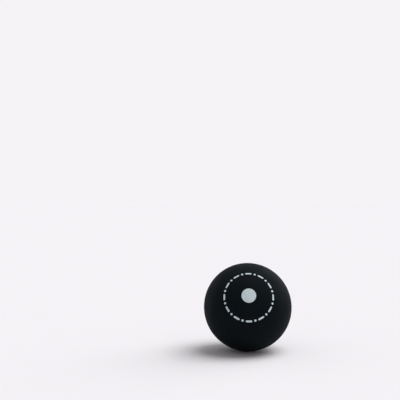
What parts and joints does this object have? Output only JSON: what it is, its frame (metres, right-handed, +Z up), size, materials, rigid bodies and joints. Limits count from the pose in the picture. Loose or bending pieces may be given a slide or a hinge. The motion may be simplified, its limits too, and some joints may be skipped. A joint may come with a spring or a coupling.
{
  "type": "squash ball",
  "caption": "Hollow matt black rubber ball of cemented half shells with a plain white print, struck with a racket against a court wall.",
  "frame": {"origin": "centre of the ball", "axes": "+Z up as the ball lies in the picture; the printed front half shell faces -Y, the rear half shell +Y, and the seam lies in the XZ plane"},
  "size_m": [0.04, 0.04, 0.04],
  "materials": {
    "matt_rubber": "buffed matt",
    "rubber_cement": "dried satin",
    "white_ink": "thin matt pad print"
  },
  "bodies": {
    "root": {"front_half_shell": "matt_rubber", "rear_half_shell": "matt_rubber", "seam_cement": "rubber_cement"}
  },
  "joints": []
}
